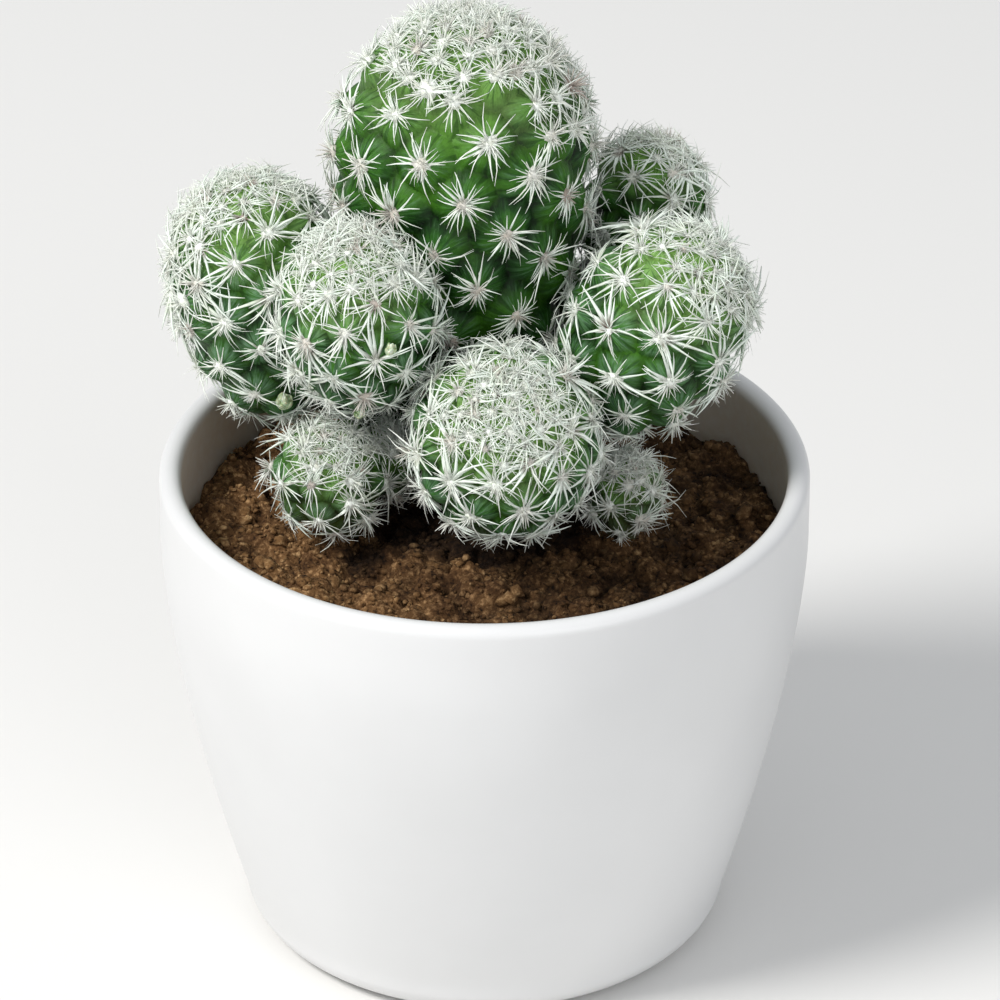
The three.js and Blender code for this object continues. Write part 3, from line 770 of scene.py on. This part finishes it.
# Sets a needle on a cushion: `turn` round it, `rise` above the skin. It stands up, and is made
# shorter, where something is in its way, and it is left out where that doesn't help.
def set_needle(star, shape, cushion, near, turn, rise, length, foot_out, foot_up, rust=0.0):
    mesh, bow, sway = shape
    outward = cushion.ahead * math.cos(turn) + cushion.left * math.sin(turn)
    foot = cushion.place + outward * foot_out + cushion.normal * foot_up
    for attempt in range(4):
        along = outward * math.cos(rise) + cushion.normal * math.sin(rise)
        above = (cushion.normal - along * cushion.normal.dot(along)).normalized()
        bend = above * bow + along.cross(above) * sway
        points = [foot + (along + bend * part) * length * part for part in (0.55, 1)]
        if all(clear_of_rest(point, cushion.head, near, SPINE_CLEARANCE) for point in points):
            break
        rise, length = rise + 0.3, length * 0.88
    else:
        return
    turned = Matrix((above, along.cross(above), along)).transposed().to_4x4()
    before = len(star.verts)
    star.from_mesh(mesh)
    star.verts.ensure_lookup_table()
    new = star.verts[before:]
    bmesh.ops.transform(star, verts=new, matrix=Matrix.Translation(foot) @ turned @ Matrix.Scale(length, 4))
    layer = star.verts.layers.float["rust"]
    for vert in new:
        vert[layer] = rust


def thinness(cushion):
    side = Vector(THIN_SIDES.get(cushion.head.name, (0, 0, 0)))
    return smoothstep(0.5, 0.95, cushion.normal.dot(side))


def grow_spines(head, cushions, near, shapes, draw):
    bm = bmesh.new()
    main = head.name == "head_main"
    stars = MAIN_STARS if main else OFFSET_STARS
    share = LARGE_SHARE if head.radius > SMALL_HEAD else SMALL_SHARE
    full = FULL_LENGTH if main else min(LONGEST, share * head.spacing)
    young = min(CROWN_LENGTH, CROWN_SHARE * full)
    for cushion in cushions:
        age = smoothstep(0.15, CROWN_SPREAD, cushion.from_tip)
        low = smoothstep(1.3, 2, cushion.from_tip)
        vigour = draw.uniform(*stars["vigour"])
        size = (young + (full - young) * age) * vigour * (1 - stars["waning"] * low)
        lift = stars["lift"] - stars["sinking"] * age - 0.06 * low
        rays = draw.randint(*(YOUNG_RAYS if cushion.young else GROWN_RAYS))
        cover = 1.25 - 0.25 * age if main else (1 - 0.15 * low) * vigour
        rays = round(rays * (1 - 0.35 * thinness(cushion)) * cover)
        phase = draw.uniform(0, ANY_TURN)
        tilt = draw.gauss(0, 0.12), draw.gauss(0, 0.12)
        pull = draw.uniform(0, ANY_TURN)
        gather = draw.uniform(*stars["gather"])
        rust = min(1.0, max(0.0, draw.gauss(0.3 + (0.7 * low if main else 0), 0.4)))
        star = bmesh.new()
        for i in range(rays):
            turn = phase + 2 * math.pi * i / rays + draw.gauss(0, 0.2)
            turn -= gather * math.sin(turn - pull)
            rise = lift + draw.uniform(-0.12, 0.2) + tilt[0] * math.cos(turn) + tilt[1] * math.sin(turn)
            length = size * draw.uniform(0.66, 1.12) * (1 + stars["lopsided"] * math.cos(turn - pull))
            set_needle(star, draw.choice(shapes), cushion, near, turn, rise, length, 0.35, -0.1, rust)
        for i in range(draw.randint(*MIDDLE_SPINES)):
            rise = lift + draw.uniform(0.3, 0.9)
            length = size * draw.uniform(0.35, 0.65)
            shape, turn = draw.choice(shapes), draw.uniform(0, ANY_TURN)
            set_needle(star, shape, cushion, near, turn, rise, length, 0.15, -0.1, rust)
        add_batch(bm, star)
    return bm


# Ivory spines, tinted green as painted light from the green skin shining through and onto them
IVORY_WITH_GREEN_LIGHT = [(0.3, (0.73, 0.79, 0.67)), (0.55, (0.86, 0.93, 0.85))]
RUSTY_ROOT = (0.24, 0.16, 0.115)


def spine_material():
    material, shader = new_material("spines", Roughness=0.5)
    ivory = add_ramp(material, add_noise(material, object_place(material), 260, 2), IVORY_WITH_GREEN_LIGHT)
    root = add_range(material, mesh_value(material, "along"), 0.35, 0.05)
    rusty = add_math(material, "MULTIPLY", root, mesh_value(material, "rust"))
    link(material, add_mix(material, rusty, ivory, RUSTY_ROOT), shader.inputs["Base Color"])
    return material


spine_white = spine_material()
draw = random.Random(11)
SPINE_ROOT, SPINE_TIP = 0.046, 0.009
SPINE_CUTS = 0.35, 0.7
SPINE_BENDS = ((-0.26, 0.1), (-0.18, -0.2), (-0.12, 0.28), (-0.32, -0.26), (-0.22, 0.04), (-0.20, 0.42),
               (-0.16, -0.44), (-0.14, 0.02), (-0.34, 0.2), (-0.24, -0.12))
spine_shapes = [needle(SPINE_ROOT, SPINE_TIP, SPINE_CUTS, *bend) for bend in SPINE_BENDS]
near = {name: neighbours(head) for name, head in heads.items()}
for name, head in heads.items():
    cushions[name] = [cushion for cushion in cushions[name]
                      if clear_of_rest(cushion.place, head, near[name], CUSHION_CLEARANCE)
                      and not (cushion.young and thinness(cushion) > 0.4)]
    bm = grow_spines(head, cushions[name], near[name], spine_shapes, draw)
    make_piece(name + "_spines", bm, spine_white)

# Wool
# A tuft of short cream wool fills each cushion round the roots of its spines. Fine down and long
# soft hairs rise from it. Some tufts have aged to a rusty brown, most of all low on the main stem.
TUFT_HEIGHT = 0.42
# The short hairs of an even tuft, and the fewest and the most strands of its down
SHORT_HAIRS, DOWN_HAIRS = 15, (5, 8)
# Roots, tips, cuts and bends of the three kinds of hair
short_hairs = [needle(0.06, 0.02, (), 0.0, 0.0), needle(0.05, 0.02, (0.5,), 0.2, 0.15)]
long_hairs = [needle(0.030, 0.008, (0.35, 0.7), *bend) for bend in (
    (-0.3, 0.35), (-0.15, -0.5), (-0.25, -0.6), (-0.4, 0.1), (-0.2, 0.6), (-0.3, -0.2))]
down = [needle(0.02, 0.006, (0.5,), *bend) for bend in ((-0.3, 0.5), (-0.2, -0.6), (0.1, 0.3))]


def grow_wool(head, cushions, near, draw):
    bm = bmesh.new()
    main = head.name == "head_main"
    for cushion in cushions:
        age = smoothstep(0.15, CROWN_SPREAD, cushion.from_tip)
        low = smoothstep(1.0, 1.8, cushion.from_tip)
        if main:
            woolly = draw.uniform(0.8, 1.25) * (1.3 - 0.15 * age - 0.2 * low)
        else:
            woolly = draw.uniform(0.6, 1.25)
        size = (0.82 + 0.32 * age) * woolly
        stained = max(0.0, draw.gauss(-0.1, 0.45)) + (0.75 * low if main else 0)
        tuft = bmesh.new()
        tuft.verts.layers.float.new("along")
        stain = tuft.verts.layers.float.new("rust")
        turned = Matrix((cushion.ahead, cushion.left, cushion.normal)).transposed().to_4x4()
        squashed = Matrix.Diagonal((size, size, TUFT_HEIGHT * size, 1))
        place = Matrix.Translation(cushion.place) @ turned @ squashed
        for vert in bmesh.ops.create_icosphere(tuft, subdivisions=1, radius=1, matrix=place)["verts"]:
            vert.co += (vert.co - cushion.place) * draw.uniform(-0.35, 0.3)
            vert[stain] = min(1.0, stained)
        for i in range(round(SHORT_HAIRS * woolly)):
            length = draw.uniform(1, 1.8) * (1 + 0.25 * age) * woolly
            shape, turn, rise = draw.choice(short_hairs), draw.uniform(0, ANY_TURN), draw.uniform(0.05, 1.3)
            foot_out, rust = draw.uniform(0, 0.5), min(1.0, 0.8 * stained)
            set_needle(tuft, shape, cushion, near, turn, rise, length, foot_out, 0.05, rust)
        strands = draw.uniform(12, 16) - 4 * age if main else draw.uniform(9, 14) * (1 - 0.4 * low) * woolly
        for i in range(round(strands)):
            length = draw.uniform(2.2, 5.2) * (0.6 + 0.4 * age) * (1 if main else 1 - 0.2 * low)
            shape, turn, rise = draw.choice(long_hairs), draw.uniform(0, ANY_TURN), draw.uniform(0.02, 0.8)
            set_needle(tuft, shape, cushion, near, turn, rise, length, 0.3, 0.1)
        for i in range(draw.randint(*DOWN_HAIRS)):
            shape, turn, rise = draw.choice(down), draw.uniform(0, ANY_TURN), draw.uniform(0.3, 1.4)
            set_needle(tuft, shape, cushion, near, turn, rise, draw.uniform(1.4, 2.8), 0.4, 0)
        add_batch(bm, tuft)
    return bm


# Cream wool, tinted green as painted light from the green skin
CREAM_WITH_GREEN_LIGHT = [(0.3, (0.72, 0.74, 0.65)), (0.6, (0.89, 0.92, 0.86))]
RUSTY_WOOL = (0.33, 0.21, 0.16)


def wool_material():
    material, shader = new_material("cushion_wool", Roughness=0.9, Sheen_Weight=0.3, Sheen_Roughness=0.6)
    tone = add_noise(material, object_place(material), 900, 3)
    stained = add_math(material, "MULTIPLY", mesh_value(material, "rust"), 0.75)
    cream = add_ramp(material, tone, CREAM_WITH_GREEN_LIGHT)
    link(material, add_mix(material, stained, cream, RUSTY_WOOL), shader.inputs["Base Color"])
    link(material, add_bump(material, tone, 0.5, 0.0003), shader.inputs["Normal"])
    return material


wool = wool_material()
for name, head in heads.items():
    make_piece(name + "_wool", grow_wool(head, cushions[name], near[name], draw), wool)
for shape in spine_shapes + short_hairs + long_hairs + down:
    bpy.data.meshes.remove(shape[0])

# Buds
# New offsets, 2 to 3 mm long, that break from between the tubercles: pale green rosettes of nine
# scales, one upright in the middle and the others opening round it.
# Each bud's place, lean, radius and length
BUDS = (((-12.5, -17.2, 97.6), (0.15, -0.55, 0.82), 0.8, 1.5),
        ((-27.4, -2.8, 81.6), (0.1, -0.7, 0.7), 1.2, 2),
        ((-16.9, -10.8, 84.2), (0.3, -0.8, 0.5), 0.8, 1.3))
# How far each scale has opened, from the middle outwards
SCALES = 0, 0.5, 0.5, 0.5, 0.85, 0.85, 0.85, 0.85, 0.85


def grow_buds():
    bm = bmesh.new()
    for place, lean, radius, reach in BUDS:
        base = Matrix.Translation(place) @ Vector(lean).to_track_quat("Z", "Y").to_matrix().to_4x4()
        for i, opened in enumerate(SCALES):
            leaf = (Matrix.Rotation(i * GOLDEN_ANGLE, 4, "Z")
                    @ Matrix.Translation((0.62 * opened * radius, 0, (0.3 - 0.6 * opened) * reach))
                    @ Matrix.Rotation(0.3 * opened, 4, "Y")
                    @ Matrix.Diagonal((0.45 * radius, 0.62 * radius, 0.75 * reach, 1)))
            made = bmesh.ops.create_uvsphere(bm, u_segments=16, v_segments=12, radius=1)["verts"]
            for vert in made:
                taper = 1 - 0.6 * max(0.0, vert.co.z) ** 2
                vert.co.x *= taper
                vert.co.y *= taper
            bmesh.ops.transform(bm, verts=made, matrix=base @ leaf)
    return bm


BUD_GREENS = [(0.35, (0.20, 0.30, 0.11)), (0.5, (0.46, 0.54, 0.34)), (0.66, (0.72, 0.74, 0.62))]


def bud_material():
    material, shader = new_material("bud_skin", Roughness=0.5, Subsurface_Weight=0.15,
                                    Subsurface_Scale=0.001)
    tone = add_noise(material, object_place(material), 500, 3)
    link(material, add_ramp(material, tone, BUD_GREENS), shader.inputs["Base Color"])
    link(material, add_bump(material, tone, 0.3, 0.0003), shader.inputs["Normal"])
    return material


make_piece("buds", grow_buds(), bud_material())

# Floor, light and camera
# A plain pale floor under soft studio light from the upper left. The camera looks down at the pot
# from the front.
FLOOR_COLOUR = (0.78, 0.77, 0.75, 1)
SKY_COLOUR, SKY_STRENGTH = (0.93, 0.96, 1, 1), 0.59

floor_mesh = bmesh.new()
bmesh.ops.create_grid(floor_mesh, x_segments=1, y_segments=1, size=3)
floor_data = bpy.data.meshes.new("floor")
floor_mesh.to_mesh(floor_data)
floor_mesh.free()
floor = bpy.data.objects.new("floor", floor_data)
bpy.context.scene.collection.objects.link(floor)
pale, pale_shader = new_material("pale_floor", Roughness=0.7)
pale_shader.inputs["Base Color"].default_value = FLOOR_COLOUR
floor_data.materials.append(pale)

world = bpy.data.worlds.new("studio")
world.use_nodes = True
world.node_tree.nodes["Background"].inputs["Color"].default_value = SKY_COLOUR
world.node_tree.nodes["Background"].inputs["Strength"].default_value = SKY_STRENGTH
bpy.context.scene.world = world

LAMP_AIM = (0, 0, 0.08)


def add_lamp(name, place, size, power, colour):
    data = bpy.data.lights.new(name, "AREA")
    data.shape = "DISK"
    data.size, data.energy, data.color = size, power, colour
    lamp = bpy.data.objects.new(name, data)
    lamp.location = place
    lamp.rotation_euler = (Vector(LAMP_AIM) - Vector(place)).to_track_quat("-Z", "Y").to_euler()
    bpy.context.scene.collection.objects.link(lamp)


add_lamp("key", (-0.72, -0.40, 1.0), 0.4, 13.2, (1, 0.99, 0.97))
add_lamp("fill", (0.6, -1.1, 0.6), 0.9, 3.6, (0.97, 0.98, 1))

TILT = math.radians(30.2)
DISTANCE = 0.9
AIM_X, AIM_Z = 0.00214, 0.0643
SENSOR = 36
# The focal length, in widths of the picture
FOCAL_LENGTH = 6.49
camera_data = bpy.data.cameras.new("camera")
camera_data.sensor_width = SENSOR
camera_data.lens = FOCAL_LENGTH * SENSOR
camera = bpy.data.objects.new("camera", camera_data)
camera.location = (AIM_X, -DISTANCE * math.cos(TILT), AIM_Z + DISTANCE * math.sin(TILT))
camera.rotation_euler = (math.pi / 2 - TILT, 0, 0)
bpy.context.scene.collection.objects.link(camera)
bpy.context.scene.camera = camera
bpy.context.scene.view_settings.view_transform = "Standard"
